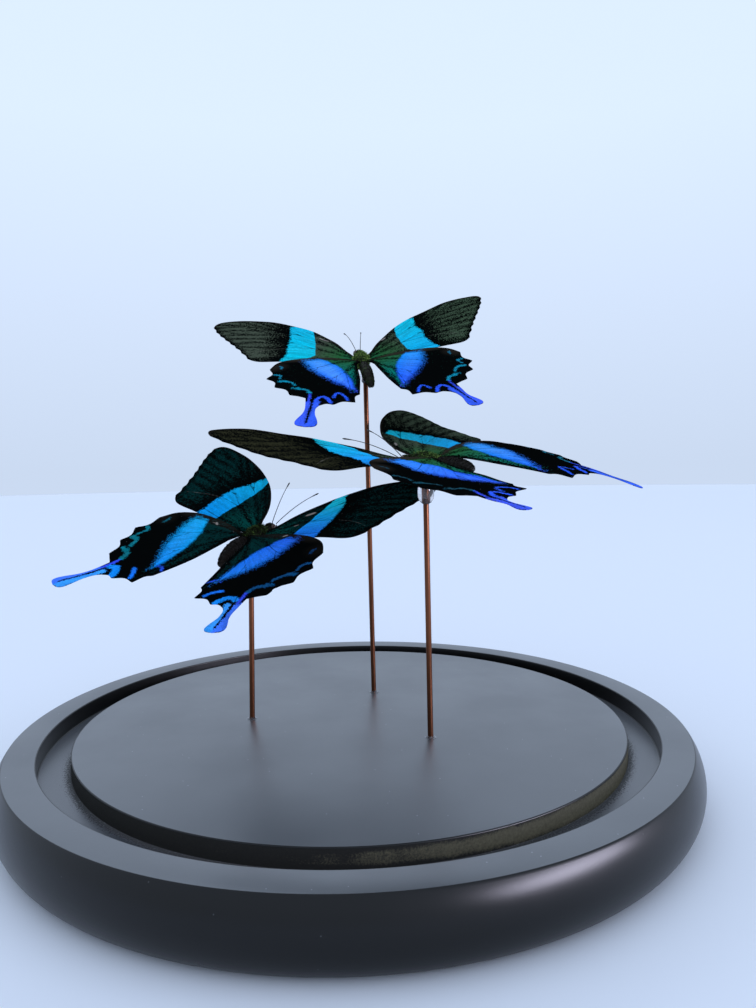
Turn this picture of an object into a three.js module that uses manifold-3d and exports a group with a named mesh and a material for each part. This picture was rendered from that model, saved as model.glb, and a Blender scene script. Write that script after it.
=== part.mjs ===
// Three dried swallowtail butterflies, each on a thin copper rod, in a turned black base whose
// ring-shaped groove takes a glass dome. Millimetres, +Z up. The origin is the centre of the base's underside.
import * as THREE from "three";
import { mergeVertices } from "three/addons/utils/BufferGeometryUtils.js";
import Module from "manifold-3d";

// Base: one turned disc of painted MDF
const BASE_RADIUS = 125; // at the fullest part of the rounded side
const FOOT_RADIUS = 116.8; // where the side meets the table
const RIM_RADIUS = 121.6; // outer edge of the flat rim
const RIM_Z = 21.2;
const FULLEST_Z = 10.8;
const GROOVE_RADIUS = 111.2; // outer wall of the groove
const DISC_RADIUS = 100.6; // the raised disc inside the groove
const DISC_Z = 21;
const GROOVE_DEPTH = 6;
const BASE_SIDES = 64;
const SIDE_STEPS = 5;

// Rods: copper wire in blind holes, with a glue drop at the top
const ROD_RADIUS = 1;
const ROD_SIDES = 12;
const HOLE_DEPTH = 10;
const CLEARANCE = 0.3; // between pieces that would touch
const GLUE_TIP = 0.6; // a drop's point above its last outline height

// Butterflies: a forewing of 70 mm from root to tip
const WING_THICKNESS = 0.3;
const BEND_UNIT = 50; // distance from the root at which a wing rises by its bend values
const FOREWING_ROOT = [2.5, 2.5, 0];
const HINDWING_ROOT = [3, -3.5, 1.5];
const WAIST = -4; // the abdomen bends from here
const ANTENNA_LENGTH = 26;
const ANTENNA_RADIUS = 0.3;
const ANTENNA_START = [1, 12.3, 1.1];
const ANTENNA_ARCH = 1.2;

// Each butterfly: where its thorax is, counted from the disc's top, and how it is turned (yaw, roll and pitch
// in degrees). A wing's turn is sweep, lift and twist in degrees, and its bend says in mm how far it rises at
// BEND_UNIT: along the span, along the chord, along the diagonal, and with the cube of the span.
// shift moves a root in the wing plane. The abdomen turns to the right and down, an antenna outwards and up.
const BUTTERFLIES = {
  left: {
    thorax: [-36.5, -1, 70],
    turn: [-35, 8, 14],
    left: {
      forewing: { turn: [3.5, -10, 8.5], shift: [-0.5, 0.5], bend: [0, 1, 1.5, 0] },
      hindwing: { turn: [-3, -6, 11.5], bend: [0, 4, 2, 0] },
      antenna: [22, 20],
    },
    right: {
      forewing: { turn: [7.5, -11.5, 7], bend: [-1, 2.5, 2, -1] },
      hindwing: { turn: [1, -5.5, 10], bend: [0, 4, 3.5, 1] },
      antenna: [4, 12],
    },
    abdomen: [13, 10],
    rod: { foot: [-38.4, -0.6], lean: 0.9, top: 65.4 },
    glue: [[62.2, 1.5], [63.6, 2.1], [65.2, 1.9]],
  },
  back: {
    thorax: [6.5, 31.5, 139.5],
    turn: [6, -4, 26],
    left: {
      forewing: { turn: [3, -6.5, 7], bend: [-2, 3, -2.5, -0.5] },
      hindwing: { turn: [-7.5, -8.5, 0], bend: [-5, -3, -0.5, -1.5] },
      antenna: [4, 0],
    },
    right: {
      forewing: { turn: [0.5, -8.5, 2], bend: [1.5, 1.5, 3.5, -1] },
      hindwing: { turn: [-4.5, -8.5, 0.5], bend: [-1.5, -0.5, 2, -2.5] },
      antenna: [9, 0],
    },
    abdomen: [1, 9],
    rod: { foot: [9.1, 29.1], lean: -0.6, top: 134.8 },
    glue: [[130.8, 1.6], [132.2, 2.2], [133.6, 2.1], [134.6, 1.6]],
  },
  right: {
    thorax: [27.5, -28, 97],
    turn: [48, -7, 3],
    left: {
      forewing: { turn: [4, -9.5, 7], bend: [-7, 7, 3, 2.5] },
      hindwing: { turn: [0, -3, 12], bend: [1.5, 4.5, 6, 1] },
      antenna: [2, 14],
    },
    right: {
      forewing: { turn: [10, -8, 3], bend: [-1, 4.5, 8, -3] },
      hindwing: { turn: [-3, -10, 5.5], bend: [-7, -6, 1.5, -4.5] },
      antenna: [21, 19],
    },
    abdomen: [-19, 4],
    rod: { foot: [27.2, -26.2], lean: -0.4, top: 92.2 },
    glue: [[82.2, 1.6], [83.6, 2.4], [86, 2.9], [88.6, 2.6], [91, 2], [92.2, 1.5]],
  },
};

const PAINTED_BLACK = { color: 0x17181b, roughness: 0.4, metalness: 0 };
const COPPER = { color: 0xb07050, roughness: 0.3, metalness: 1 };
const CLEAR_GLUE = { color: 0xe8ecee, roughness: 0.1, metalness: 0, transparent: true, opacity: 0.4 };
const FOREWING_SCALES = { color: 0x0c3a40, roughness: 0.8, metalness: 0 };
const HINDWING_SCALES = { color: 0x1440a0, roughness: 0.8, metalness: 0 };
const HAIRY_BODY = { color: 0x26301c, roughness: 0.9, metalness: 0 };

const wasm = await Module();
wasm.setup();
const display = new THREE.Group();

function addPiece(name, geometry, finish, parent = display) {
  const mesh = new THREE.Mesh(geometry, new THREE.MeshStandardMaterial(finish));
  mesh.name = name;
  parent.add(mesh);
  return mesh;
}

const points2 = (list) => list.map(([x, y]) => new THREE.Vector2(x, y));
const radians = THREE.MathUtils.degToRad;

// A three.js geometry as a manifold-3d solid, with its shared vertices merged.
function solidFrom(geometry) {
  const bare = geometry.clone();
  bare.deleteAttribute("normal");
  bare.deleteAttribute("uv");
  const merged = mergeVertices(bare, 1e-4);
  return new wasm.Manifold(
    new wasm.Mesh({
      numProp: 3,
      vertProperties: merged.attributes.position.array,
      triVerts: new Uint32Array(merged.index.array),
    }),
  );
}

function geometryFrom(solid) {
  const { vertProperties, triVerts } = solid.getMesh();
  const geometry = new THREE.BufferGeometry();
  geometry.setAttribute("position", new THREE.BufferAttribute(new Float32Array(vertProperties), 3));
  geometry.setIndex(new THREE.BufferAttribute(new Uint32Array(triVerts), 1));
  geometry.computeVertexNormals();
  return geometry;
}

// A profile of [radius, height] points, from the axis back to the axis, spun about Z.
function turned(profile, sides) {
  return new THREE.LatheGeometry(points2(profile), sides).rotateX(Math.PI / 2);
}

// A quarter of an ellipse between two [radius, height] points, which starts level or upright.
function quarterEllipse([fromRadius, fromZ], [toRadius, toZ], startsLevel) {
  return Array.from({ length: SIDE_STEPS + 1 }, (_, i) => {
    const angle = (i / SIDE_STEPS) * (Math.PI / 2);
    const soon = Math.sin(angle);
    const late = 1 - Math.cos(angle);
    const [across, up] = startsLevel ? [soon, late] : [late, soon];
    return [fromRadius + (toRadius - fromRadius) * across, fromZ + (toZ - fromZ) * up];
  });
}

// Base: rounded side, flat rim, dome groove and raised disc, then the three rod holes
const foot = [FOOT_RADIUS, 0];
const fullest = [BASE_RADIUS, FULLEST_Z];
const rim = [RIM_RADIUS, RIM_Z];
const baseProfile = [
  [0, 0],
  ...quarterEllipse(foot, fullest, true),
  ...quarterEllipse(fullest, rim, false).slice(1),
  [GROOVE_RADIUS, RIM_Z],
  [GROOVE_RADIUS, DISC_Z - GROOVE_DEPTH],
  [DISC_RADIUS, DISC_Z - GROOVE_DEPTH],
  [DISC_RADIUS, DISC_Z],
  [0, DISC_Z],
];
let base = solidFrom(turned(baseProfile, BASE_SIDES));
for (const { rod } of Object.values(BUTTERFLIES)) {
  const drill = new THREE.CylinderGeometry(
    ROD_RADIUS + CLEARANCE, ROD_RADIUS + CLEARANCE, HOLE_DEPTH * 2, ROD_SIDES,
  );
  drill.rotateX(Math.PI / 2).translate(...rod.foot, DISC_Z);
  base = base.subtract(solidFrom(drill));
}
addPiece("base", geometryFrom(base), PAINTED_BLACK);

// A rod stands in its hole and leans a little to one side. Its group's Z axis is the rod's axis.
function rodGroup({ foot, lean }) {
  const group = new THREE.Group();
  group.position.set(...foot, DISC_Z);
  group.rotation.y = radians(lean);
  display.add(group);
  return group;
}

function rodGeometry(top) {
  const bottom = -HOLE_DEPTH + CLEARANCE;
  return new THREE.CylinderGeometry(ROD_RADIUS, ROD_RADIUS, top - bottom, ROD_SIDES)
    .rotateX(Math.PI / 2)
    .translate(0, 0, (top + bottom) / 2);
}

// A glue drop is a cap over the rod's end: its outer [height, radius] points, then its inner wall.
function glueGeometry(outline, rodTop) {
  const inner = ROD_RADIUS + CLEARANCE;
  const [bottom] = outline[0];
  const tip = outline[outline.length - 1][0] + GLUE_TIP;
  const outer = outline.map(([height, radius]) => [radius, height]);
  const profile = [[0, rodTop + CLEARANCE], [inner, rodTop + CLEARANCE], [inner, bottom], ...outer, [0, tip]];
  return turned(profile, ROD_SIDES);
}

// Wing outlines of a right wing, in mm from its root: [outwards, forwards]
const FOREWING_FRONT = [[2, 3.5], [8, 16.5], [26.5, 32.5], [50.5, 39.5], [57.5, 38.6], [61, 34.8]];
const FOREWING_REAR = [
  [2, -2], [14, -4.5], [28, -3.5], [38, -4.5], [42.5, -3], [51, 15], [56.5, 24.5], [61, 34.8],
];
const HINDWING_FRONT = [[0.9, 0.5], [6, 2.8], [13.5, 4], [24, 4], [32, 0.8], [36.5, -5]];
const HINDWING_REAR = [[0.9, -1.2], [2, -9.5], [4.5, -22], [8.5, -36]];
// Scallop tips, each with the depth of the notch before it
const OUTER_SCALLOPS = [[36.5, -5], [39.5, -15, 1.6], [38, -24, 1.6], [34, -33, 1.6], [29, -36.5, 0.1]];
const INNER_SCALLOPS = [[8.5, -36], [12, -42.5, 1.6], [20.5, -44, 1.6], [25.5, -44, 0.5]];
const HINDWING_MIDDLE = new THREE.Vector2(20, -20);
const TAIL_ROOT = new THREE.Vector2(27.2, -40.2);
const TAIL_TIP = new THREE.Vector2(34, -56.5);
// The tail's spoon shape: [share of its length, half width]
const TAIL_SHAPE = [[0.3, 2], [0.52, 2.4], [0.74, 4.1], [0.88, 4.4], [0.97, 2.8], [1, 0]];
const WING_STRIPS = 4;

const smooth = (list, count) => new THREE.SplineCurve(points2(list)).getSpacedPoints(count);

// Scallop tips with a notch pulled in between each pair. The first tip is left out.
function scalloped(tips) {
  const list = points2(tips);
  return list.slice(1).flatMap((tip, i) => {
    const notch = list[i].clone().lerp(tip, 0.5);
    const inwards = HINDWING_MIDDLE.clone().sub(notch).setLength(tips[i + 1][2]);
    return [notch.add(inwards), tip];
  });
}

function tailEdge(side) {
  const along = TAIL_TIP.clone().sub(TAIL_ROOT);
  const across = new THREE.Vector2(-along.y, along.x).normalize();
  return TAIL_SHAPE.map(([share, half]) =>
    TAIL_ROOT.clone().addScaledVector(along, share).addScaledVector(across, side * half),
  );
}

const forewingEdges = [smooth(FOREWING_FRONT, 14), smooth(FOREWING_REAR, 14)];
const outerTail = tailEdge(1);
const outerTailRoot = points2(OUTER_SCALLOPS)[4];
const besideTailRoot = [1 / 3, 2 / 3].map((share) => outerTailRoot.clone().lerp(outerTail[0], share));
const hindwingEdges = [
  [...smooth(HINDWING_FRONT, 7), ...scalloped(OUTER_SCALLOPS), ...besideTailRoot, ...outerTail],
  [...smooth(HINDWING_REAR, 11), ...scalloped(INNER_SCALLOPS), ...tailEdge(-1)],
];

// How far a wing's surface rises above its flat plane.
function rise([span, chord, diagonal, curl], { x, y }) {
  const u = x / BEND_UNIT;
  const v = y / BEND_UNIT;
  return span * u * u + chord * v * v + diagonal * u * v + curl * u ** 3;
}

// A wing is a thin curved sheet between its front and rear edges, closed all round.
function wingGeometry([front, rear], bend) {
  const last = front.length - 1;
  const row = WING_STRIPS + 1;
  const positions = [];
  for (const half of [WING_THICKNESS / 2, -WING_THICKNESS / 2])
    front.forEach((from, i) => {
      for (let j = 0; j < row; j++) {
        const point = from.clone().lerp(rear[i], j / WING_STRIPS);
        positions.push(point.x, point.y, rise(bend, point) + half);
      }
    });
  // The last row is the tip, where all its points are one.
  const top = (i, j) => i * row + (i === last ? 0 : j);
  const under = (i, j) => front.length * row + top(i, j);
  const faces = [];
  const quad = (a, b, c, d) => faces.push([a, b, c], [c, b, d]);
  for (let i = 0; i < last; i++) {
    for (let j = 0; j < WING_STRIPS; j++) {
      quad(top(i, j), top(i, j + 1), top(i + 1, j), top(i + 1, j + 1));
      quad(under(i, j + 1), under(i, j), under(i + 1, j + 1), under(i + 1, j));
    }
    quad(top(i, 0), top(i + 1, 0), under(i, 0), under(i + 1, 0));
    quad(top(i + 1, WING_STRIPS), top(i, WING_STRIPS), under(i + 1, WING_STRIPS), under(i, WING_STRIPS));
  }
  for (let j = 0; j < WING_STRIPS; j++) quad(top(0, j), under(0, j), top(0, j + 1), under(0, j + 1));
  const geometry = new THREE.BufferGeometry();
  geometry.setAttribute("position", new THREE.Float32BufferAttribute(positions, 3));
  geometry.setIndex(faces.filter(([a, b, c]) => a !== b && b !== c && a !== c).flat());
  geometry.computeVertexNormals();
  return geometry;
}

// Body outline from the tip of the abdomen to the head: [forwards, radius]
const BODY_OUTLINE = [
  [-23, 0], [-22.4, 0.9], [-20, 1.7], [-16, 2.2], [-11, 2.4], [-7, 2.2], [-4, 1.8], [-2, 2.7],
  [0.5, 3.4], [3, 3.5], [5.5, 2.9], [7.5, 1.7], [8.6, 1.9], [10, 2.2], [11.4, 1.6], [12.2, 0],
];
const BODY_SIDES = 10;

// The body is turned about Y, and its abdomen then follows an arc that leaves the waist sideways and down.
function bodyGeometry([sideways, down]) {
  const outline = BODY_OUTLINE.map(([forwards, radius]) => [radius, forwards]);
  const geometry = new THREE.LatheGeometry(points2(outline), BODY_SIDES);
  const position = geometry.attributes.position;
  const point = new THREE.Vector3();
  const bendAxis = new THREE.Vector3(radians(down), 0, radians(sideways));
  const fullBend = 2 * bendAxis.length();
  bendAxis.normalize();
  const length = WAIST - BODY_OUTLINE[0][0];
  for (let i = 0; i < position.count; i++) {
    point.fromBufferAttribute(position, i);
    const behind = WAIST - point.y;
    if (behind <= 0) continue;
    const turn = fullBend * (behind / length);
    const arcRadius = length / fullBend;
    const spine = new THREE.Vector3(0, -arcRadius * Math.sin(turn), 0);
    const aside = new THREE.Vector3(0, -1, 0).cross(bendAxis).multiplyScalar(-arcRadius * (1 - Math.cos(turn)));
    point.y = 0;
    point.applyAxisAngle(bendAxis, turn).add(spine).add(aside);
    position.setXYZ(i, point.x, point.y + WAIST, point.z);
  }
  return geometryFrom(solidFrom(geometry));
}

// An antenna of a right side: a thin feeler that leaves the head forwards and rises in a shallow arc.
function antennaGeometry([sideways, upwards]) {
  const start = new THREE.Vector3(...ANTENNA_START);
  const along = new THREE.Vector3(0, 1, 0)
    .applyAxisAngle(new THREE.Vector3(1, 0, 0), radians(upwards))
    .applyAxisAngle(new THREE.Vector3(0, 0, 1), -radians(sideways));
  const arch = (share) => new THREE.Vector3(0, 0, 4 * share * (1 - share) * ANTENNA_ARCH);
  const stations = [0, 0.25, 0.5, 0.75, 1].map((share) =>
    start.clone().addScaledVector(along, ANTENNA_LENGTH * share).add(arch(share)),
  );
  const section = new THREE.Shape().absarc(0, 0, ANTENNA_RADIUS, 0, 2 * Math.PI);
  return new THREE.ExtrudeGeometry(section, {
    extrudePath: new THREE.CatmullRomCurve3(stations),
    steps: 7,
    curveSegments: 5,
    bevelEnabled: false,
  });
}

for (const [name, butterfly] of Object.entries(BUTTERFLIES)) {
  const rod = rodGroup(butterfly.rod);
  addPiece(`${name}_rod`, rodGeometry(butterfly.rod.top), COPPER, rod);
  addPiece(`${name}_glue_drop`, glueGeometry(butterfly.glue, butterfly.rod.top), CLEAR_GLUE, rod);

  const insect = new THREE.Group();
  const [x, y, z] = butterfly.thorax;
  insect.position.set(x, y, z + DISC_Z);
  const [yaw, roll, pitch] = butterfly.turn.map(radians);
  insect.rotation.set(pitch, roll, yaw, "ZYX");
  display.add(insect);
  addPiece(`${name}_body`, bodyGeometry(butterfly.abdomen), HAIRY_BODY, insect);

  for (const side of ["left", "right"]) {
    const half = new THREE.Group();
    half.scale.x = side === "left" ? -1 : 1;
    insect.add(half);
    const { forewing, hindwing, antenna } = butterfly[side];
    const wings = [
      ["forewing", forewing, forewingEdges, FOREWING_ROOT, FOREWING_SCALES],
      ["hindwing", hindwing, hindwingEdges, HINDWING_ROOT, HINDWING_SCALES],
    ];
    for (const [kind, { turn, bend, shift = [0, 0] }, edges, root, finish] of wings) {
      const wing = addPiece(`${name}_${side}_${kind}`, wingGeometry(edges, bend), finish, half);
      wing.position.set(root[0] + shift[0], root[1] + shift[1], root[2]);
      const [sweep, lift, twist] = turn.map(radians);
      wing.rotation.set(twist, lift, sweep, "ZYX");
    }
    addPiece(`${name}_${side}_antenna`, antennaGeometry(antenna), HAIRY_BODY, half);
  }
}

export default display;
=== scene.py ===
import math
import random

import bmesh
import bpy
import numpy as np
from mathutils import Euler, Matrix, Vector, noise


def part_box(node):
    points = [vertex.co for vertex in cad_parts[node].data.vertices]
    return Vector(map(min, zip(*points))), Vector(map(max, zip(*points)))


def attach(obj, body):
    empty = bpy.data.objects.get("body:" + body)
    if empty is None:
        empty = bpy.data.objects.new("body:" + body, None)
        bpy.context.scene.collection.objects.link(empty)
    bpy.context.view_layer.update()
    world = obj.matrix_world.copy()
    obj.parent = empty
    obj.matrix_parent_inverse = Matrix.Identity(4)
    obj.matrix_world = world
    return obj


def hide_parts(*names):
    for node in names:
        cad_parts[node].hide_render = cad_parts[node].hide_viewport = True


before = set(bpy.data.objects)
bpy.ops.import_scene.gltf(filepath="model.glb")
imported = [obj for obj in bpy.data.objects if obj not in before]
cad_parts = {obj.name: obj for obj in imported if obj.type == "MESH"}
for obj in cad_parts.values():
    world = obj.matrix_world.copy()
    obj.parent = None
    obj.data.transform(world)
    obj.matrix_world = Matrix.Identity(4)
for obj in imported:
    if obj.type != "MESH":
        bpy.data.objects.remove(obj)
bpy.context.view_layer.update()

# Base: one disc turned from MDF, with a rounded side and a groove for a glass dome. It was sprayed satin
# black from above, so the paint is thin and gritty in the groove, and the groove's inner wall is half bare.
MM = 0.001
BASE_RADIUS = 125 * MM
FOOT_RADIUS = 116.8 * MM
RIM_RADIUS = 121.6 * MM
FULLEST_Z = 10.8 * MM
RIM_Z = 21.2 * MM
GROOVE_RADIUS = 111.2 * MM
GROOVE_Z = 15 * MM
DISC_RADIUS = 100.6 * MM
DISC_Z = 21 * MM
EDGE_ROUND = 0.4 * MM
SIDE_STEPS = 14
BASE_STEPS = 240


def linear(hex_colour):
    """An sRGB hex colour as linear RGBA."""
    channels = [int(hex_colour[i : i + 2], 16) / 255 for i in (1, 3, 5)]
    return [c / 12.92 if c <= 0.04045 else ((c + 0.055) / 1.055) ** 2.4 for c in channels] + [1]


def set_inputs(node, inputs):
    """Sets a node's inputs. Each takes a value, an output to link, or a node, for its first live output."""
    for name, value in inputs.items():
        if isinstance(value, bpy.types.Node):
            value = next(output for output in value.outputs if output.enabled)
        if isinstance(value, bpy.types.NodeSocket):
            node.id_data.links.new(value, node.inputs[name])
        else:
            node.inputs[name].default_value = value


def add_node(tree, kind, inputs=None, **settings):
    """Adds a shader node with its settings and inputs."""
    made = tree.nodes.new(f"ShaderNode{kind}")
    for name, value in settings.items():
        setattr(made, name, value)
    set_inputs(made, inputs or {})
    return made


def new_material(name):
    """A plain material, with its node tree and the shader of its surface."""
    material = bpy.data.materials.new(name)
    material.use_nodes = True
    tree = material.node_tree
    tree.nodes.clear()
    surface = add_node(tree, "BsdfPrincipled")
    add_node(tree, "OutputMaterial", {"Surface": surface})
    return material, tree, surface


def spin_profile(bm, profile, steps):
    """Spins a wire of (radius, height) points round Z into a closed skin."""
    points = [bm.verts.new((radius, 0, height)) for radius, height in profile]
    wire = [bm.edges.new(pair) for pair in zip(points, points[1:])]
    bmesh.ops.spin(
        bm, geom=points + wire, angle=math.tau, steps=steps, axis=(0, 0, 1), cent=(0, 0, 0), use_merge=True
    )
    bmesh.ops.remove_doubles(bm, verts=bm.verts, dist=0.001 * MM)
    bmesh.ops.recalc_face_normals(bm, faces=bm.faces)


def add_object(name, bm, materials):
    """Turns a mesh under construction into an object in the scene."""
    mesh = bpy.data.meshes.new(name)
    bm.to_mesh(mesh)
    bm.free()
    for material in materials:
        mesh.materials.append(material)
    made = bpy.data.objects.new(name, mesh)
    bpy.context.scene.collection.objects.link(made)
    return made


def finish_piece(name, bm, materials, stands_for, sharp_degrees=40):
    """Turns a mesh under construction into a smooth piece that stands for CAD nodes."""
    piece = add_object(name, bm, materials)
    piece.data.shade_smooth()
    piece.data.set_sharp_from_angle(angle=math.radians(sharp_degrees))
    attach(piece, "root")
    if stands_for:
        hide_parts(stands_for)
    return piece


def foot_curve():
    """The side from the foot to its fullest point, as (radius, height): a quarter ellipse."""
    points = []
    for angle in np.linspace(0, math.pi / 2, SIDE_STEPS):
        radius = FOOT_RADIUS + (BASE_RADIUS - FOOT_RADIUS) * math.sin(angle)
        points.append((radius, FULLEST_Z * (1 - math.cos(angle))))
    return points


def shoulder_curve():
    """The side from its fullest point to the rim, as (radius, height): an arc that starts upright."""
    inwards, upwards = BASE_RADIUS - RIM_RADIUS, RIM_Z - FULLEST_Z
    arc_radius = (inwards**2 + upwards**2) / (2 * inwards)
    points = []
    for angle in np.linspace(0, math.asin(upwards / arc_radius), SIDE_STEPS):
        radius = BASE_RADIUS - arc_radius * (1 - math.cos(angle))
        points.append((radius, FULLEST_Z + arc_radius * math.sin(angle)))
    return points


# Satin spray paint on MDF: near black, with a soft orange peel, faint cloudy patches and a few specks of
# dust. The flat tops are a greyer black than the rounded side: partly dry mist, partly a painted reflection
# of the bright room. They also mirror the room in a blur.
SPECK_SPACING = 5 * MM
CLOUD_SIZE = 28 * MM
PEEL_SIZE = 0.9 * MM
paints = {}
for name, black, gloss_ior, smoothest, roughest, speck_strength in (
    # The flat top's grey black is partly a painted reflection of the bright room.
    ("flat top", "#33393e", 2.25, 0.3, 0.4, 0.5),
    ("rounded side", "#030303", 1.38, 0.27, 0.32, 0.08),
):
    paints[name], tree, surface = new_material(f"satin black spray paint, {name}")
    place = add_node(tree, "TexCoord").outputs["Object"]
    specks = add_node(tree, "TexVoronoi", {"Vector": place, "Scale": 1 / SPECK_SPACING})
    speck_mask = add_node(
        tree, "MapRange",
        {"Value": specks, "From Min": 0.03, "From Max": 0.045, "To Min": speck_strength, "To Max": 0},
    )
    clouds = add_node(tree, "TexNoise", {"Vector": place, "Scale": 1 / CLOUD_SIZE, "Detail": 4})
    paint_roughness = add_node(
        tree, "MapRange",
        {"Value": clouds, "From Min": 0.3, "From Max": 0.7, "To Min": smoothest, "To Max": roughest},
    )
    paint_colour = add_node(
        tree, "Mix", {"Factor": speck_mask, 6: linear(black), 7: linear("#b9bfc4")}, data_type="RGBA"
    )
    orange_peel = add_node(tree, "TexNoise", {"Vector": place, "Scale": 1 / PEEL_SIZE, "Detail": 3})
    paint_bump = add_node(tree, "Bump", {"Height": orange_peel, "Strength": 0.12, "Distance": 0.06 * MM})
    set_inputs(
        surface,
        {"Base Color": paint_colour, "Roughness": paint_roughness, "IOR": gloss_ior, "Normal": paint_bump},
    )

# Turned edge of MDF: greige-brown pressed fibre, furry and matt, with stray grains of the black spray.
FIBRE_SIZE = 0.7 * MM
SPRAY_GRAIN = 0.5 * MM
SPRAY_PATCH = 9 * MM
bare_mdf, tree, surface = new_material("half-bare MDF edge")
place = add_node(tree, "TexCoord").outputs["Object"]
fibres = add_node(tree, "TexNoise", {"Vector": place, "Scale": 1 / FIBRE_SIZE, "Detail": 5})
fibre_colour = add_node(
    tree, "Mix", {"Factor": fibres, 6: linear("#4a4538"), 7: linear("#80785f")}, data_type="RGBA"
)
grains = add_node(
    tree, "TexNoise", {"Vector": place, "Scale": 1 / SPRAY_GRAIN, "Detail": 6, "Roughness": 0.8}
)
patches = add_node(tree, "TexNoise", {"Vector": place, "Scale": 1 / SPRAY_PATCH, "Detail": 3})
height = add_node(tree, "SeparateXYZ", {"Vector": place}).outputs["Z"]
# The spray reached the wall's top edge and its foot, and left the middle.
from_middle = add_node(tree, "Math", {0: height, 1: (GROOVE_Z + DISC_Z) / 2}, operation="SUBTRACT")
off_middle = add_node(tree, "Math", {0: from_middle}, operation="ABSOLUTE")
reach = add_node(
    tree, "MapRange",
    {"Value": off_middle, "From Min": 1.2 * MM, "From Max": 3 * MM, "To Min": 0.18, "To Max": 0.62},
)
patchy = add_node(tree, "Math", {0: patches, 1: 0.5, 2: -0.25}, operation="MULTIPLY_ADD")
patchy_reach = add_node(tree, "Math", {0: reach, 1: patchy}, operation="ADD")
# Only the wall that faces the right front, toward the softbox, stays bare and pale; elsewhere it is darkened
# towards the spray's black, a painted shade.
faces_right_front = add_node(tree, "VectorMath", {0: place, 1: (0.8, -0.6, 0)}, operation="DOT_PRODUCT")
wall_painted_shade = add_node(
    tree, "MapRange",
    {
        "Value": faces_right_front, "From Min": 0.4 * DISC_RADIUS, "From Max": 0.98 * DISC_RADIUS, "To Min": 0.66,
        "To Max": 0,
    },
)
spray_amount = add_node(tree, "Math", {0: patchy_reach, 1: wall_painted_shade}, operation="ADD")
sprayed = add_node(tree, "Math", {0: spray_amount, 1: grains}, operation="SUBTRACT")
spray_mask = add_node(
    tree, "MapRange", {"Value": sprayed, "From Min": -0.12, "From Max": 0.2, "To Max": 0.94}
)
wall_colour = add_node(
    tree, "Mix", {"Factor": spray_mask, 6: fibre_colour, 7: linear("#191a1b")}, data_type="RGBA"
)
wall_bump = add_node(tree, "Bump", {"Height": grains, "Strength": 0.6, "Distance": 0.15 * MM})
set_inputs(
    surface, {"Base Color": wall_colour, "Roughness": 0.85, "Specular IOR Level": 0.2, "Normal": wall_bump}
)

# Overspray in the groove: the same paint landed half dry, so it is a little rough, with blacker matt grains.
GRIT_SIZE = 0.6 * MM
GRIT_REACH = 4 * MM
dry_spray, tree, surface = new_material("gritty overspray")
place = add_node(tree, "TexCoord").outputs["Object"]
grit = add_node(tree, "TexNoise", {"Vector": place, "Scale": 1 / GRIT_SIZE, "Detail": 6, "Roughness": 0.75})
flat_place = add_node(tree, "VectorMath", {0: place, 1: (1, 1, 0)}, operation="MULTIPLY")
from_axis = add_node(tree, "VectorMath", {0: flat_place}, operation="LENGTH")
# Grains are thickest within a few millimetres of the inner wall.
near_wall = add_node(
    tree, "MapRange",
    {
        "Value": from_axis, "From Min": DISC_RADIUS, "From Max": DISC_RADIUS + GRIT_REACH, "To Min": 0.62,
        "To Max": 0.34,
    },
)
matt_grains = add_node(tree, "Math", {0: near_wall, 1: grit}, operation="GREATER_THAN")
grit_roughness = add_node(tree, "MapRange", {"Value": matt_grains, "To Min": 0.28, "To Max": 0.8})
# The grey ground is partly a painted reflection of the bright room, as on the flat tops; the blacker grains
# are overspray.
grit_and_painted_reflection_colour = add_node(
    tree, "Mix", {"Factor": matt_grains, 6: linear("#3c4046"), 7: linear("#0c0c0d")}, data_type="RGBA"
)
grit_bump = add_node(tree, "Bump", {"Height": grit, "Strength": 0.35, "Distance": 0.1 * MM})
set_inputs(
    surface, {"Base Color": grit_and_painted_reflection_colour, "Roughness": grit_roughness, "IOR": 1.9, "Normal": grit_bump}
)

bm = bmesh.new()
spin_profile(
    bm,
    [
        (0, 0),
        *foot_curve(),
        *shoulder_curve()[1:],
        (GROOVE_RADIUS, RIM_Z),
        (GROOVE_RADIUS, GROOVE_Z),
        (DISC_RADIUS, GROOVE_Z),
        (DISC_RADIUS, DISC_Z),
        (0, DISC_Z),
    ],
    BASE_STEPS,
)
corners = [edge for edge in bm.edges if edge.calc_face_angle(0) > math.radians(45)]
bmesh.ops.bevel(bm, geom=corners, offset=EDGE_ROUND, segments=3, profile=0.5, affect="EDGES", material=-1)
TOPS, INNER_WALL, GROOVE_FLOOR, SIDE = range(4)
for face in bm.faces:
    middle = face.calc_center_median()
    radius = math.hypot(middle.x, middle.y)
    is_top = face.normal.z > 0.98
    is_outside = radius > RIM_RADIUS or middle.z < GROOVE_Z - EDGE_ROUND
    is_edge_or_outer_wall = middle.z > DISC_Z - EDGE_ROUND or radius > GROOVE_RADIUS - EDGE_ROUND
    if is_outside or (is_edge_or_outer_wall and not is_top):
        face.material_index = SIDE
    elif middle.z < DISC_Z - EDGE_ROUND:
        face.material_index = INNER_WALL if face.normal.z < 0.5 else GROOVE_FLOOR
    else:
        face.material_index = TOPS
base_finishes = [paints["flat top"], bare_mdf, dry_spray, paints["rounded side"]]
finish_piece("turned_base", bm, base_finishes, "base", 50)

# Rods: 2 mm copper wire, pushed into blind holes in the base. Each leans a little, and its cut top ends
# inside the glue under its insect. Its ends are read from the CAD rod.
ROD_RADIUS = 1 * MM
NAMES = ("left", "back", "right")
rod_lines = {}
for name in NAMES:
    corners = [vertex.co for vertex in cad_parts[f"{name}_rod"].data.vertices]
    low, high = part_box(f"{name}_rod")
    ends = []
    for level in (low.z, high.z):
        ring = [co for co in corners if abs(co.z - level) < 0.1 * MM]
        ends.append(sum(ring, Vector()) / len(ring))
    rod_lines[name] = ends

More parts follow.
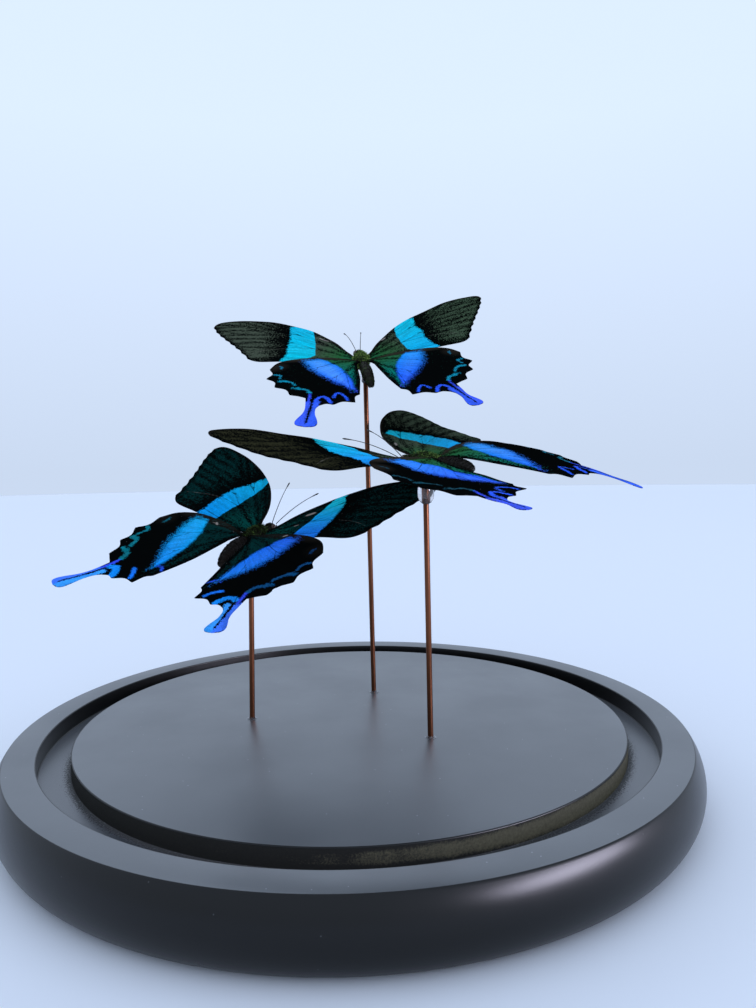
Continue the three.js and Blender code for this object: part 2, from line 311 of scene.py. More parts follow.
# Drawn copper wire, browned by handling: metal, with fine lines along it from the die and darker stains.
STAIN_SIZE = 2 * MM
DIE_LINE_WIDTH = 0.15 * MM
copper_wire, tree, surface = new_material("drawn copper wire")
place = add_node(tree, "TexCoord").outputs["Object"]
stain_place = add_node(tree, "Mapping", {"Vector": place, "Scale": (1, 1, 0.12)})
stains = add_node(tree, "TexNoise", {"Vector": stain_place, "Scale": 1 / STAIN_SIZE, "Detail": 5})
copper_colour = add_node(
    tree, "Mix", {"Factor": stains, 6: linear("#85533a"), 7: linear("#442a1f")}, data_type="RGBA"
)
line_place = add_node(tree, "Mapping", {"Vector": place, "Scale": (1, 1, 0.01)})
die_lines = add_node(tree, "TexNoise", {"Vector": line_place, "Scale": 1 / DIE_LINE_WIDTH})
wire_bump = add_node(tree, "Bump", {"Height": die_lines, "Strength": 0.3, "Distance": 0.02 * MM})
wire_roughness = add_node(tree, "MapRange", {"Value": stains, "To Min": 0.24, "To Max": 0.5})
set_inputs(
    surface, {"Base Color": copper_colour, "Metallic": 1, "Roughness": wire_roughness, "Normal": wire_bump}
)

for name, (bottom, top) in rod_lines.items():
    bm = bmesh.new()
    along = top - bottom
    lean = along.to_track_quat("Z", "Y").to_matrix().to_4x4()
    bmesh.ops.create_cone(
        bm, cap_ends=True, segments=32, radius1=ROD_RADIUS, radius2=ROD_RADIUS, depth=along.length,
        matrix=Matrix.Translation((bottom + top) / 2) @ lean,
    )
    rims = [edge for edge in bm.edges if edge.calc_face_angle(0) > math.radians(60)]
    bmesh.ops.bevel(bm, geom=rims, offset=0.15 * MM, segments=2, profile=0.5, affect="EDGES", material=-1)
    finish_piece(f"{name}_copper_rod", bm, [copper_wire], f"{name}_rod")

# Glue: clear hot glue. A drop holds each insect on its rod's end, and a thin collar seals each rod's foot.
# A drop's outline is [height above the disc, radius], and the drop follows its rod's lean.
DROPS = {
    "left": [[61.6, 1.02], [62.4, 1.5], [63.6, 2.1], [65.2, 1.9], [66.2, 1.3]],
    "back": [[130.2, 1.02], [130.9, 1.6], [132.2, 2.2], [133.6, 2.1], [134.8, 1.5], [135.4, 1]],
    "right": [[82.2, 1.02], [82.9, 1.9], [84.2, 2.7], [86.2, 2.9], [88.6, 2.6], [91, 2], [92.4, 1.4],
              [93, 0.9]],
}
COLLAR = [[0.7, 1.02], [0.45, 1.25], [0.15, 1.6], [0.05, 2.1], [-0.1, 2.2]]


def even_steps(path, count):
    """The same path with evenly spaced points."""
    path = np.array(path, float)
    walked = np.concatenate([[0], np.cumsum(np.linalg.norm(np.diff(path, axis=0), axis=1))])
    at = np.linspace(0, walked[-1], count)
    return np.stack([np.interp(at, walked, column) for column in path.T], axis=1)


def smooth_path(points, count):
    """A smooth curve through the points, with evenly spaced points."""
    points = [np.array(point, float) for point in points]
    points = [points[0], *points, points[-1]]
    path = []
    for a, b, c, d in zip(points, points[1:], points[2:], points[3:]):
        for t in np.arange(0, 1, 1 / 16):
            bend, twist = 2 * a - 5 * b + 4 * c - d, 3 * b - a - 3 * c + d
            path.append(b + (c - a) * t / 2 + bend * t**2 / 2 + twist * t**3 / 2)
    return even_steps([*path, points[-1]], count)


# Hot glue: a clear plastic, slightly cloudy, that set with soft ripples, so it bends the light unevenly.
RIPPLE_SIZE = 1.4 * MM
clear_glue, tree, surface = new_material("clear hot glue")
place = add_node(tree, "TexCoord").outputs["Object"]
ripples = add_node(tree, "TexNoise", {"Vector": place, "Scale": 1 / RIPPLE_SIZE})
glue_bump = add_node(tree, "Bump", {"Height": ripples, "Strength": 0.3, "Distance": 0.2 * MM})
set_inputs(
    surface,
    {
        "Base Color": linear("#f3f1f4"), "Roughness": 0.08, "IOR": 1.49, "Transmission Weight": 0.92,
        "Normal": glue_bump,
    },
)

for name, outline in DROPS.items():
    bottom, top = rod_lines[name]
    along = (top - bottom).normalized()
    foot = bottom + along * (DISC_Z - bottom.z) / along.z
    lean = Matrix.Translation(foot) @ along.to_track_quat("Z", "Y").to_matrix().to_4x4()
    dabs = (("glue_drop", outline, f"{name}_glue_drop"), ("glue_collar", COLLAR, None))
    for kind, points, stands_for in dabs:
        bm = bmesh.new()
        curve = smooth_path(points, 24) * MM
        closed = [(0, curve[0][0]), *[(radius, height) for height, radius in curve], (0, curve[-1][0])]
        spin_profile(bm, closed, 32)
        bmesh.ops.transform(bm, matrix=lean, verts=bm.verts)
        finish_piece(f"{name}_clear_{kind}", bm, [clear_glue], stands_for)

# Insects: where each dried swallowtail's thorax is, in mm from the disc's top, and its yaw, roll and pitch.
# A wing's turn is its sweep, lift and twist, and its bend says in mm how far it rises at BEND_UNIT along the
# span, the chord and the diagonal, and with the cube of the span. These are the CAD model's own values.
BEND_UNIT = 50
FOREWING_ROOT = (2.5, 2.5, 0)
HINDWING_ROOT = (3, -3.5, 1.5)
INSECTS = {
    "left": {
        "thorax": (-36.5, -1, 70),
        "turn": (-35, 8, 14),
        "left_forewing": {"turn": (3.5, -10, 8.5), "shift": (-0.5, 0.5), "bend": (0, 1, 1.5, 0)},
        "left_hindwing": {"turn": (-3, -6, 11.5), "bend": (0, 4, 2, 0)},
        "right_forewing": {"turn": (7.5, -11.5, 7), "bend": (-1, 2.5, 2, -1)},
        "right_hindwing": {"turn": (1, -5.5, 10), "bend": (0, 4, 3.5, 1)},
        "left_antenna": (22, 20),
        "right_antenna": (4, 12),
        "tuft": -0.3,
        "abdomen": (13, 10),
    },
    "back": {
        "thorax": (6.5, 31.5, 139.5),
        "turn": (6, -4, 26),
        "left_forewing": {"turn": (3, -6.5, 7), "bend": (-2, 3, -2.5, -0.5)},
        "left_hindwing": {"turn": (-7.5, -8.5, 0), "bend": (-5, -3, -0.5, -1.5)},
        "right_forewing": {"turn": (0.5, -8.5, 2), "bend": (1.5, 1.5, 3.5, -1)},
        "right_hindwing": {"turn": (-4.5, -8.5, 0.5), "bend": (-1.5, -0.5, 2, -2.5)},
        "left_antenna": (4, 0),
        "right_antenna": (9, 0),
        "tuft": 0.26,
        "abdomen": (1, 9),
    },
    "right": {
        "thorax": (27.5, -28, 97),
        "turn": (48, -7, 3),
        "left_forewing": {"turn": (4, -9.5, 7), "bend": (-7, 7, 3, 2.5)},
        "left_hindwing": {"turn": (0, -3, 12), "bend": (1.5, 4.5, 6, 1)},
        "right_forewing": {"turn": (10, -8, 3), "bend": (-1, 4.5, 8, -3)},
        "right_hindwing": {"turn": (-3, -10, 5.5), "bend": (-7, -6, 1.5, -4.5)},
        "left_antenna": (2, 14),
        "right_antenna": (21, 19),
        "tuft": -0.12,
        "abdomen": (-19, 4),
    },
}


def turn_matrix(degrees):
    """A turn about Z, then the new Y, then the new X."""
    about_z, about_y, about_x = [math.radians(angle) for angle in degrees]
    return Euler((about_x, about_y, about_z)).to_matrix()


def insect_matrix(name):
    """From an insect's own millimetres, nose along +Y, to its place over the base."""
    thorax = Vector(INSECTS[name]["thorax"]) * MM + Vector((0, 0, DISC_Z))
    return Matrix.Translation(thorax) @ turn_matrix(INSECTS[name]["turn"]).to_4x4() @ Matrix.Scale(MM, 4)


def add_tube(bm, path, radii, sides=6, material_index=0):
    """Extrudes a small disc along a path, so that the tube is closed at both ends."""
    path = [Vector(point) for point in path]
    facing = [(b - a).to_track_quat("Z", "Y").to_matrix().to_4x4() for a, b in zip(path, path[1:])]
    facing.append(facing[-1])
    made = bmesh.ops.create_circle(
        bm, cap_ends=True, segments=sides, radius=radii[0], matrix=Matrix.Translation(path[0]) @ facing[0]
    )
    end = made["verts"][0].link_faces[0]
    end.material_index = material_index
    for i in range(1, len(path)):
        grown = bmesh.ops.extrude_face_region(bm, geom=[end])["geom"]
        end = next(item for item in grown if isinstance(item, bmesh.types.BMFace))
        back = (Matrix.Translation(path[i - 1]) @ facing[i - 1]).inverted()
        ahead = Matrix.Translation(path[i]) @ facing[i] @ Matrix.Scale(radii[i] / radii[i - 1], 4)
        bmesh.ops.transform(bm, matrix=ahead @ back, verts=end.verts)
        for face in {face for vertex in end.verts for face in vertex.link_faces}:
            face.material_index = material_index


# Bodies: a dried thorax, head and ringed abdomen, with long hair on the thorax and a short pile behind.
# The outline is [forwards, radius] in mm, and the abdomen follows an arc that leaves the waist.
WAIST = -4
BODY_OUTLINE = [
    [-23, 0], [-22.4, 0.9], [-20, 1.7], [-16, 2.2], [-11, 2.4], [-7, 2.2], [-4, 1.8], [-2, 2.7],
    [0.5, 3.4], [3, 3.5], [5.5, 2.9], [7.5, 1.7], [8.6, 1.9], [10, 2.2], [11.4, 1.6], [12.2, 0],
]
ABDOMEN_LENGTH = WAIST - BODY_OUTLINE[0][0]
ABDOMEN_RINGS = 8
RING_DEPTH = 0.14
HEAD_START = 7
BODY_FLATNESS = (0.88, 0.82)
ABDOMEN_FLATNESS = (0.95, 0.88)
# How long the hairs are in mm, and how pale. A real hair is too fine to show, so these are drawn thicker.
ABDOMEN_HAIR = (0.4, -0.08)
HEAD_HAIR = (0.6, 0.3)
THORAX_HAIR = (1.2, 0.66)


def bend_abdomen(point, sideways, down):
    """Moves a point that is behind the waist onto the abdomen's arc."""
    behind = WAIST - point.y
    if behind <= 0:
        return point
    axis = Vector((math.radians(down), 0, math.radians(sideways)))
    full_turn = 2 * axis.length
    axis.normalize()
    arc_radius = ABDOMEN_LENGTH / full_turn
    turn = full_turn * behind / ABDOMEN_LENGTH
    spine = Vector((0, WAIST - arc_radius * math.sin(turn), 0))
    aside = Vector((0, -1, 0)).cross(axis) * -arc_radius * (1 - math.cos(turn))
    return Matrix.Rotation(turn, 3, axis) @ Vector((point.x, 0, point.z)) + spine + aside


# Chitin under the hair: dark brown, hard and a little glossy, with a fine mottle.
MOTTLE_SIZE = 0.8 * MM
chitin, tree, surface = new_material("dry dark chitin")
place = add_node(tree, "TexCoord").outputs["Object"]
mottle = add_node(tree, "TexNoise", {"Vector": place, "Scale": 1 / MOTTLE_SIZE, "Detail": 4})
chitin_colour = add_node(
    tree, "Mix", {"Factor": mottle, 6: linear("#0f0c0a"), 7: linear("#2c221a")}, data_type="RGBA"
)
chitin_bump = add_node(tree, "Bump", {"Height": mottle, "Strength": 0.4, "Distance": 0.1 * MM})
set_inputs(
    surface,
    {"Base Color": chitin_colour, "Roughness": 0.45, "Specular IOR Level": 0.2, "Normal": chitin_bump},
)

# Hair and scales of the body: each hair has its own shade between dark brown and yellow-green.
body_hair, tree, surface = new_material("body hair")
shade = add_node(tree, "Attribute", attribute_name="hair_shade")
hair_colour = add_node(tree, "ValToRGB", {"Fac": shade.outputs["Fac"]})
hair_colour.color_ramp.elements[0].color = linear("#0d0a08")
hair_colour.color_ramp.elements[1].color = linear("#9ab45e")
hair_colour.color_ramp.elements.new(0.45).color = linear("#3a4827")
hair_colour.color_ramp.elements.new(0.75).color = linear("#638542")
set_inputs(surface, {"Base Color": hair_colour, "Roughness": 0.6, "Specular IOR Level": 0.04})

# Eyes: large smooth domes, dark brown with a dull shine. Their facets are drawn four times too wide, to show.
FACET_WIDTH = 0.12 * MM
eye_surface, tree, surface = new_material("compound eye")
place = add_node(tree, "TexCoord").outputs["Object"]
facets = add_node(tree, "TexVoronoi", {"Vector": place, "Scale": 1 / FACET_WIDTH})
eye_bump = add_node(tree, "Bump", {"Height": facets, "Strength": 0.2, "Distance": 0.02 * MM})
set_inputs(
    surface, {"Base Color": linear("#43261a"), "Roughness": 0.25, "Coat Weight": 0.4, "Normal": eye_bump}
)

dice = random.Random(5)
for name in NAMES:
    insect = INSECTS[name]
    bm = bmesh.new()
    shades = bm.verts.layers.float.new("hair_shade")
    outline = smooth_path([(radius, forwards) for forwards, radius in BODY_OUTLINE], 76)
    outline[0][0] = outline[-1][0] = 0
    spin_profile(bm, outline, 44)
    bmesh.ops.rotate(bm, verts=bm.verts, cent=(0, 0, 0), matrix=Matrix.Rotation(math.radians(-90), 3, "X"))
    for vertex in bm.verts:
        behind = WAIST - vertex.co.y
        if behind > 0:
            ring = math.cos(math.tau * behind / ABDOMEN_LENGTH * ABDOMEN_RINGS)
            pinch = 1 - RING_DEPTH * max(0, ring) ** 4
            vertex.co.x *= pinch * ABDOMEN_FLATNESS[0]
            vertex.co.z *= pinch * ABDOMEN_FLATNESS[1]
        else:
            vertex.co.x *= BODY_FLATNESS[0]
            vertex.co.z *= BODY_FLATNESS[1]
    # Every face grows one hair: it is inset, then extruded twice on its own, back and outwards.
    roots = [face for face in bm.faces if face.calc_area() > 0.02 and len(face.verts) == 4]
    bmesh.ops.inset_individual(bm, faces=roots, thickness=0.06, use_even_offset=True)
    plans = []
    for face in roots:
        middle = face.calc_center_median()
        length, tuft = THORAX_HAIR
        if middle.y < WAIST:
            length, tuft = ABDOMEN_HAIR
        elif middle.y > HEAD_START:
            length, tuft = HEAD_HAIR
        wild = Vector([dice.gauss(0, 0.35) for _ in range(3)])
        lean = (face.normal * 0.8 + Vector((0, -0.9, 0)) + wild).normalized()
        patch = noise.noise(middle * 0.45 + Vector((0, 0, len(name))))
        length *= dice.uniform(0.6, 1.25)
        plans.append((length, lean, tuft + 0.6 * patch + dice.gauss(insect["tuft"], 0.14)))
    for thin in (0.55, 0.15):
        roots = bmesh.ops.extrude_discrete_faces(bm, faces=roots)["faces"]
        for face, (length, lean, shade_value) in zip(roots, plans):
            face.material_index = 1
            middle = face.calc_center_median()
            for vertex in face.verts:
                vertex.co = middle + (vertex.co - middle) * thin + lean * length * 0.5
                vertex[shades] = shade_value
                for side in vertex.link_faces:
                    side.material_index = 1
    for vertex in bm.verts:
        vertex.co = bend_abdomen(vertex.co, *insect["abdomen"])
    # Head: two eyes, two hairy palps and a coiled tongue.
    for side in (-1, 1):
        eye = bmesh.ops.create_uvsphere(
            bm, u_segments=24, v_segments=16, radius=1.35,
            matrix=Matrix.Translation((side * 1.35, 10.2, 0.2)) @ Matrix.Diagonal((0.8, 1, 1.1, 1)),
        )
        for face in {face for vertex in eye["verts"] for face in vertex.link_faces}:
            face.material_index = 2
        palp = smooth_path([(side * 0.5, 11.2, -1.1), (side * 0.7, 12.4, -0.6), (side * 0.6, 13, 0.5)], 7)
        add_tube(bm, palp, [0.3, 0.42, 0.45, 0.42, 0.36, 0.26, 0.1], 8)
    coil = [
        (0, 12.2 + 0.9 * shrink * math.sin(angle), -1.3 + 0.9 * shrink * math.cos(angle))
        for angle, shrink in ((0.45 * i, 1 - 0.028 * i) for i in range(32))
    ]
    add_tube(bm, coil, np.linspace(0.14, 0.06, 32), 6)
    # Legs: three pairs, folded back under the thorax.
    for side in (-1, 1):
        for forwards in (4.5, 1.5, -1.2):
            leg = smooth_path(
                [
                    (side * 1.2, forwards, -2.6),
                    (side * 2.9, forwards + 1.2, -3.6),
                    (side * 3.7, forwards - 2, -4.1),
                    (side * 2.8, forwards - 5.2, -3.9),
                    (side * 2.2, forwards - 8.2, -3.3),
                ],
                16,
            )
            add_tube(bm, leg, np.interp(range(16), [0, 4, 8, 15], [0.34, 0.26, 0.18, 0.1]), 6)
    bmesh.ops.recalc_face_normals(bm, faces=bm.faces)
    bmesh.ops.transform(bm, matrix=insect_matrix(name), verts=bm.verts)
    finish_piece(f"{name}_hairy_body", bm, [chitin, body_hair, eye_surface], f"{name}_body")

# Antennae: thin stiff feelers of dark chitin, jointed in tiny rings and thickened to a club at the tip. Each
# one grows out of the head in front of an eye.
ANTENNA_START = Vector((1, 12.3, 1.1))
ANTENNA_LENGTH = 26
ANTENNA_ARCH = 1.2
ANTENNA_RINGS = 26
RING_SWELL = 0.12
# Shares of the way to the tip, and the radius at each
ANTENNA_OUTLINE = ([0, 0.8, 0.9, 0.97, 1], [0.15, 0.12, 0.24, 0.28, 0.1])
for name in NAMES:
    for side, mirror in (("left", -1), ("right", 1)):
        sideways, upwards = [math.radians(angle) for angle in INSECTS[name][f"{side}_antenna"]]
        along = Matrix.Rotation(-sideways, 3, "Z") @ Matrix.Rotation(upwards, 3, "X") @ Vector((0, 1, 0))
        path = []
        for share in np.linspace(0, 1, ANTENNA_RINGS + 1):
            arch = Vector((0, 0, 4 * share * (1 - share) * ANTENNA_ARCH))
            path.append(ANTENNA_START + along * (ANTENNA_LENGTH * share) + arch)
        path = [Vector((point.x * mirror, point.y, point.z)) for point in path]
        widths = [np.interp(i / ANTENNA_RINGS, *ANTENNA_OUTLINE) for i in range(ANTENNA_RINGS + 1)]
        thickness = [width * (1 + RING_SWELL * (i % 2)) for i, width in enumerate(widths)]
        bm = bmesh.new()
        add_tube(bm, path, thickness, 8)
        bmesh.ops.recalc_face_normals(bm, faces=bm.faces)
        bmesh.ops.transform(bm, matrix=insect_matrix(name), verts=bm.verts)
        finish_piece(f"{name}_{side}_feeler", bm, [chitin], f"{name}_{side}_antenna")

# Wings: a dry membrane with raised veins and scalloped edges, closed all round. Outlines and patterns are
# those of a right wing laid flat, in mm from its root: [outwards, forwards].
WING_THICKNESS = 0.22
ROOT_VEIN_RADIUS = 0.24
BRANCH_VEIN_RADIUS = 0.18
VEIN_TIP_RADIUS = 0.12
RAY_SPACING = 26
FOREWING_FRONT = [
    [-1.2, 1.6], [2.2, 6], [8, 16.5], [18, 27.2], [30, 34.4], [41, 38.1], [50.5, 39.5], [57, 39.2],
    [60, 37.6], [61, 34.8],
]
FOREWING_REAR = [[-1.2, -1.2], [5, -2.8], [14, -4.5], [28, -4], [38, -4.6], [42, -3.4], [44.8, -0.6]]
FOREWING_TIPS = [
    [44.8, -0.6], [47.4, 5], [50, 10.8], [52.5, 16], [55, 20.6], [57.4, 25.2], [59.6, 30], [61, 34.8],
]
HINDWING_FRONT = [[-2, 0.8], [2, 1.4], [6, 2.8], [13.5, 4], [24, 4], [32, 0.8], [36.5, -5]]
HINDWING_REAR = [[-2, -0.6], [0.6, -3], [2, -9.5], [4.5, -22], [8.5, -36]]
OUTER_TIPS = [[36.5, -5], [39.5, -15], [38, -24], [34, -33], [29, -36.5]]
INNER_TIPS = [[8.5, -36], [12, -42.5], [20.5, -44], [25.5, -44]]
TAIL_ROOT = Vector((27.2, -40.2))
TAIL_TIP = Vector((33.6, -57.4))
TAIL_SHAPE = [[0.3, 1.9], [0.52, 2.2], [0.72, 3.4], [0.87, 3.9], [0.965, 2.9], [1, 0]]
FOREWING_VEINS = [
    [(-0.5, 1.5), (8, 14.5), (18, 24), (27, 31.2)],
    [(-0.5, 1), (10, 12), (22, 21.5), (34, 27.5), (46, 33.2), (60, 37.2)],
    [(22, 21.5), (35, 35.8)],
    [(28, 25), (42, 37.4)],
    [(34, 27.5), (49, 38.6)],
    [(46, 33.2), (60.6, 33.6)],
    [(34, 27.5), (47, 29), (59.5, 30)],
    [(34, 27.5), (33.5, 23), (44, 24.2), (57.4, 25.2)],
    [(33.5, 23), (30.5, 18.5), (42, 19.8), (55, 20.6)],
    [(-0.5, 0.5), (10, 6.2), (21, 11.5), (30.5, 18.5)],
    [(25.5, 14.6), (38, 15.4), (52.5, 16)],
    [(17, 9.4), (33, 10), (50, 10.8)],
    [(-0.5, -0.5), (14, -1.2), (28, -0.6), (44.6, -1)],
]
HINDWING_VEINS = [
    [(-0.8, 0.4), (7, 1.2), (20, 1.2), (30, -1.4), (36.5, -5)],
    [(-0.8, 0), (8, -2.6), (18, -8), (28, -12), (39.5, -15)],
    [(18, -8), (21.5, -13.5), (29, -19.5), (38, -24)],
    [(21.5, -13.5), (19.5, -19.5), (26, -26.5), (34, -33)],
    [(19.5, -19.5), (15, -20.6), (22, -31), (27.2, -40.2)],
    [(-0.8, -0.3), (4, -8), (9.5, -15.5), (15, -20.6)],
    [(13, -19), (17, -31), (20.5, -44)],
    [(8.5, -14.2), (10.5, -28), (12, -42.5)],
    [(-0.8, -0.5), (2.8, -9), (5.6, -22), (8.5, -36)],
]
# Where a hindwing's bright patch begins and ends: [forwards, inner edge, outer edge]
PATCH = [
    [-33, 9.2, 11], [-29, 8.8, 13.4], [-24, 8.2, 16.4], [-18, 8.3, 19.4], [-12, 8.9, 21.4],
    [-6, 10.4, 22.4], [0, 13.2, 22.6], [3, 15, 21.6],
]
# Crescents inside the scalloped edge: path, half width, hue and strength
CRESCENTS = [
    ([(32.6, -3), (32, -5), (32.4, -7.4)], 0.3, 0.05, 0.35),
    ([(36.4, -12.2), (34.4, -13.2), (34, -15.2), (34.8, -17.4)], 0.5, 0.02, 0.5),
    ([(35.8, -19.8), (33, -20.8), (31.4, -22.6), (31, -25.4)], 0.55, 0, 0.5),
    ([(32, -27.8), (29, -29), (27.2, -31.2), (26.8, -33.4)], 0.6, 0, 0.5),
    ([(26.8, -34), (27.9, -38), (29.6, -42.4)], 0.45, 0.9, 0.95),
    ([(21.2, -42.6), (21.9, -39.4), (23.4, -37.8), (25.2, -39), (27, -43)], 0.75, 0.75, 1),
    ([(14.4, -41), (15.2, -37.8), (16.6, -35.4), (18, -36.4), (19.2, -38.8)], 0.5, 0.7, 0.95),
    ([(9.2, -34.6), (9, -32), (10.4, -30.8), (12, -31.2)], 0.3, 0.85, 0.7),
]
CRESCENT_SOFTNESS = 0.75
# The left insect's last three are short and solid.
BOLD_CRESCENTS = [
    *CRESCENTS[:5],
    ([(21.4, -43), (22.4, -40.4), (24.4, -38.4), (26.4, -39)], 0.9, 0.4, 1),
    ([(14.6, -40.6), (16.2, -37.8), (18, -35.8)], 0.55, 0.5, 0.95),
    ([(8.2, -32.6), (10.2, -30.4), (12.8, -31.2)], 0.35, 0.7, 0.8),
]
# How each wing differs. band says where a forewing's bright band begins and ends, as PATCH does, and patch
# by how much a hindwing's patch edges move outwards. hue runs from 0, turquoise, to 1, violet-blue, and is
# given at the wing's front and rear; each wing's own hues are partly its real colour and partly painted
# light, the shift of the blue with the angle that wing is seen at. pale whitens the patch towards its
# middle: a painted sheen. dust is the dusting's hue near the root and further out: 0 is brown, 0.4 green
# and 1 dark teal. dusting scales its amount. crescents scales the crescents' width and strength and shifts
# their hue. tail narrows and shortens a tail. marks lost their scales: [outwards, forwards, length, width].
# torn bits are missing: [outwards, forwards, radius].
WING_LOOKS = {
    "left_left_forewing": {
        "band": [
            [-2, 19, 27.8], [10, 19.3, 29], [18, 19.6, 29.4],
            [20, 19.7, 28], [24, 19.9, 26.6], [31, 22, 24.6],
        ],
        "hue": (0.12, 0.3), "dust": (0.9, 1), "marks": [(16, 27.5, 1.5, 0.3)],
    },
    "left_right_forewing": {
        "band": [
            [-2, 15, 25.8], [5, 16, 26.1], [14, 16.9, 26.2],
            [20, 17.5, 25.8], [25, 18, 24.2], [28, 19, 22.6],
        ],
        "hue": (-0.1, 0.46), "dust": (0.9, 1), "dusting": 0.75,
        "marks": [(13.4, 15.4, 3, 0.9), (12, 6, 1.2, 0.5)],
    },
    "back_left_forewing": {
        "band": [
            [-4, 27.6, 31.5], [0, 19, 29.9], [2, 16.8, 28.8],
            [10, 16.4, 28.3], [19, 16.4, 27], [30, 17, 26.8],
        ],
        "hue": (0.06, 0), "dust": (0.42, 0.2), "dusting": 1.3, "marks": [(12.5, 18.4, 4.6, 0.5)],
    },
    "back_right_forewing": {
        "band": [
            [-3, 21, 30.6], [1, 17.6, 28.6], [8, 16.9, 27.2],
            [17, 16.4, 28], [23, 16.9, 26.2], [31, 18.4, 27.2],
        ],
        "hue": (0.02, 0.14), "dust": (0.42, 0.24), "marks": [(10.4, 18, 2.4, 0.5)],
    },
    "right_left_forewing": {
        "band": [
            [-3, 19, 27], [1, 16.6, 26.4], [8, 13.6, 26.2],
            [17, 14, 26.6], [22, 15.2, 25.6], [29, 16.8, 22.8],
        ],
        "hue": (0, 0.34), "dust": (0.42, 0), "marks": [(20, 8, 1, 0.3)],
    },
    "right_right_forewing": {
        "band": [
            [-3, 18, 27.4], [4, 17.5, 28.2], [9, 19, 28.6],
            [14, 20.2, 29], [22, 20.8, 27.4], [26.4, 21.8, 26],
        ],
        "hue": (0, 0.22), "dust": (0.42, 0.22), "dusting": 1.25, "marks": [(12.8, 18.8, 2.6, 0.6)],
    },
    "left_left_hindwing": {
        "patch": (3, 1.6), "hue": (0.2, 0.36), "dust": (1, 1), "crescents": (1.5, 0.62, 0),
        "marks": [(12.6, 1.4, 1.2, 0.6)],
    },
    "left_right_hindwing": {
        "patch": (1.2, -0.6), "hue": (0.56, 0.44), "dust": (1, 1), "crescents": (1.35, 0.5, 0.36),
        "tail": (0.82, 0.98), "marks": [(14, 2.6, 1.4, 0.5)], "torn": [(35, -29.6, 1.3)],
    },
    "back_left_hindwing": {
        "patch": (0, 0), "hue": (0.4, 0.62), "pale": 0.75, "dust": (0.42, 0.6), "torn": [(7.2, -33.4, 0.9)],
    },
    "back_right_hindwing": {
        "patch": (0.4, -0.6), "hue": (0.36, 0.66), "pale": 0.25, "dust": (0.42, 0.6), "tail": (0.72, 0.97),
    },
    "right_left_hindwing": {
        "patch": (0, 0), "hue": (0.45, 0.7), "pale": 0.3, "dust": (0.4, 0.55), "crescents": (0.9, 0.25, 0.08),
        "tail": (0.55, 0.84),
    },
    "right_right_hindwing": {
        "patch": (0.4, -1.4), "hue": (0.36, 0.55), "pale": 0.5, "dust": (0.4, 0.55),
        "crescents": (0.9, 0.6, 0.08), "tail": (0.6, 0.97),
    },
}


def scalloped(tips, depth, middle):
    """Joins an edge's tips with shallow arcs that curve in towards the wing's middle."""
    path = []
    for start, end in zip(tips, tips[1:]):
        start, end = Vector(start), Vector(end)
        inwards = (Vector(middle) - (start + end) / 2).normalized() * min(depth, (end - start).length * 0.17)
        path += [start.lerp(end, t) + inwards * math.sin(math.pi * t) ** 1.5 for t in np.arange(0, 1, 0.1)]
    return [*path, Vector(tips[-1])]


def tail_edge(side):
    """One edge of the spoon-shaped tail, from its neck to its tip."""
    along = TAIL_TIP - TAIL_ROOT
    across = Vector((-along.y, along.x)).normalized() * side
    return [TAIL_ROOT + along * share + across * half for share, half in TAIL_SHAPE]


def on_tail(points):
    """Each point's share of the way along the tail, and how far it is to the tail's side."""
    along = np.array(TAIL_TIP - TAIL_ROOT)
    sideways = np.array([-along[1], along[0]])
    from_neck = points - np.array(TAIL_ROOT)
    return from_neck @ along / (along @ along), from_neck @ sideways / np.linalg.norm(along)


def distance_to(points, paths):
    """How far each point is from the nearest of the paths."""
    nearest = np.full(len(points), np.inf)
    for path in paths:
        path = np.array(path, float)
        for start, end in zip(path, path[1:]):
            along = end - start
            share = np.clip((points - start) @ along / (along @ along), 0, 1)
            nearest = np.minimum(nearest, np.linalg.norm(points - start - share[:, None] * along, axis=1))
    return nearest


FOREWING_EDGES = (
    smooth_path(FOREWING_FRONT, 120),
    even_steps([*smooth_path(FOREWING_REAR, 40), *scalloped(FOREWING_TIPS, 0.6, (30, 15))[1:]], 120),
)
outer_edge = [*smooth_path(HINDWING_FRONT, 30), *scalloped(OUTER_TIPS, 2.1, (20, -20))[1:]]
inner_edge = [*smooth_path(HINDWING_REAR, 30), *scalloped(INNER_TIPS, 2.1, (20, -20))[1:]]
HINDWING_EDGES = tuple(
    np.concatenate([even_steps(edge, 130)[:-1], smooth_path([edge[-1], *tail_edge(side)], 30)])
    for edge, side in ((outer_edge, 1), (inner_edge, -1))
)


